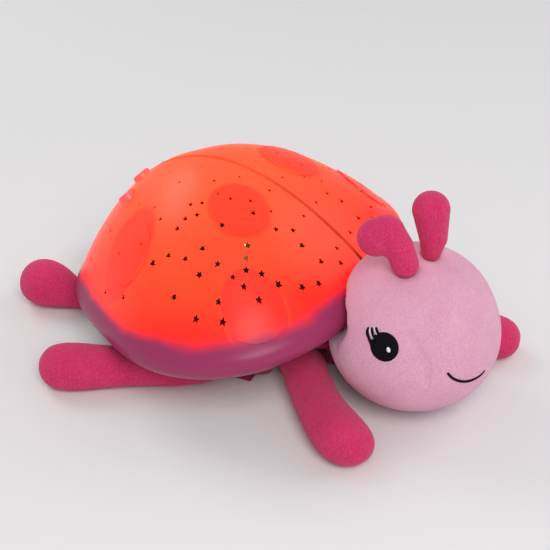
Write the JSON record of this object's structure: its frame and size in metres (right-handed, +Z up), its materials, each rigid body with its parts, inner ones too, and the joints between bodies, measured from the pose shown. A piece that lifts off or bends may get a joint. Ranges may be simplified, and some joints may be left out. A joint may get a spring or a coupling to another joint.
{
  "type": "star night light projector",
  "caption": "Plush ladybird night light: a tinted plastic shell with star cut-outs glows over a stuffed body with head, feelers and soft legs",
  "frame": {"origin": "middle of the bounding box on the floor plane, under the belly", "axes": "the animal looks along -Y, +Z is up, -X is the animal's right side"},
  "size_m": [0.203, 0.3064, 0.1265],
  "materials": {
    "shell": "clear tinted, satin",
    "tray": "satin",
    "platform": "matt",
    "button": "satin",
    "door": "satin",
    "steel": "plated",
    "spring": "plated",
    "board": "satin",
    "chips": "matt",
    "switch": "matt",
    "plunger": "satin",
    "lamp_red": "clear",
    "lamp_green": "clear",
    "lamp_blue": "clear",
    "lead_red": "satin",
    "lead_black": "satin",
    "ribbon": "satin",
    "cell": "sleeved",
    "body_plush": "short pile",
    "limb_plush": "short pile",
    "head_plush": "short pile",
    "flap_cloth": "short pile"
  },
  "bodies": {
    "module": {"shell_dome": "shell", "base_tray": "tray", "belly": "body_plush", "light_platform": "platform", "case_screws": "steel", "battery_contacts": "steel", "battery_springs": "spring", "main_board": "board", "board_screws": "steel", "board_parts": "chips", "key_board": "board", "key_switches": "switch", "key_board_screws": "steel", "key_ribbon": "ribbon", "battery_lead_red": "lead_red", "battery_lead_black": "lead_black", "battery_1": "cell", "battery_2": "cell", "battery_3": "cell", "lamp_red": "lamp_red", "lamp_green": "lamp_green", "lamp_blue": "lamp_blue"},
    "battery_door": {"battery_door": "door", "door_screws": "steel"},
    "battery_flap": {"battery_flap": "flap_cloth"},
    "head": {"head": "head_plush"},
    "antenna_right": {"antenna_right": "limb_plush"},
    "antenna_left": {"antenna_left": "limb_plush"},
    "leg_front_right": {"leg_front_right": "limb_plush"},
    "leg_front_left": {"leg_front_left": "limb_plush"},
    "leg_middle_right": {"leg_middle_right": "limb_plush"},
    "leg_middle_left": {"leg_middle_left": "limb_plush"},
    "leg_rear_right": {"leg_rear_right": "limb_plush"},
    "leg_rear_left": {"leg_rear_left": "limb_plush"},
    "button_right": {"button_right": "button", "plunger_right": "plunger"},
    "button_middle": {"button_middle": "button", "plunger_middle": "plunger"},
    "button_left": {"button_left": "button", "plunger_left": "plunger"}
  },
  "joints": [
    {"name": "head_turn", "type": "hinge", "parent": "module", "child": "head", "pos_m": [-0.014, -0.10664, 0.045], "axis": [0, 0, 1], "range_deg": [-6, 6]},
    {"name": "antenna_right_swing", "type": "hinge", "parent": "head", "child": "antenna_right", "pos_m": [-0.02723, -0.10581, 0.092], "axis": [0.9205, -0.3907, 0], "range_deg": [-20, 20]},
    {"name": "antenna_left_swing", "type": "hinge", "parent": "head", "child": "antenna_left", "pos_m": [-0.00974, -0.11323, 0.092], "axis": [0.9205, -0.3907, 0], "range_deg": [-20, 20]},
    {"name": "leg_front_right_swing", "type": "hinge", "parent": "module", "child": "leg_front_right", "pos_m": [-0.022, -0.04064, 0.009], "axis": [0, 0, 1], "range_deg": [-12, 0]},
    {"name": "leg_front_left_swing", "type": "hinge", "parent": "module", "child": "leg_front_left", "pos_m": [0.029, -0.05764, 0.009], "axis": [0, 0, 1], "range_deg": [0, 12]},
    {"name": "leg_middle_right_swing", "type": "hinge", "parent": "module", "child": "leg_middle_right", "pos_m": [-0.051, 0.00536, 0.009], "axis": [0, 0, 1], "range_deg": [-12, 12]},
    {"name": "leg_middle_left_swing", "type": "hinge", "parent": "module", "child": "leg_middle_left", "pos_m": [0.051, 0.00536, 0.009], "axis": [0, 0, 1], "range_deg": [-12, 12]},
    {"name": "leg_rear_right_swing", "type": "hinge", "parent": "module", "child": "leg_rear_right", "pos_m": [-0.011, 0.08636, 0.007], "axis": [0, 0, 1], "range_deg": [-10, 12]},
    {"name": "leg_rear_left_swing", "type": "hinge", "parent": "module", "child": "leg_rear_left", "pos_m": [0.011, 0.08636, 0.007], "axis": [0, 0, 1], "range_deg": [-12, 12]},
    {"name": "button_right_press", "type": "slide", "parent": "module", "child": "button_right", "axis": [0, -0.6895, -0.7243], "range_m": [0, 0.0008], "stiffness_N_per_m": 300, "springref_m": -0.002},
    {"name": "button_middle_press", "type": "slide", "parent": "module", "child": "button_middle", "axis": [0, -0.6895, -0.7243], "range_m": [0, 0.0008], "stiffness_N_per_m": 300, "springref_m": -0.002},
    {"name": "button_left_press", "type": "slide", "parent": "module", "child": "button_left", "axis": [0, -0.6895, -0.7243], "range_m": [0, 0.0008], "stiffness_N_per_m": 300, "springref_m": -0.002},
    {"name": "battery_door_lift", "type": "slide", "parent": "module", "child": "battery_door", "axis": [0, -0.1736, -0.9848], "range_m": [0, 0.012]},
    {"name": "battery_flap_open", "type": "hinge", "parent": "module", "child": "battery_flap", "pos_m": [0, 0.03172, 0.0004], "axis": [1, 0, 0], "range_deg": [0, 100]}
  ]
}
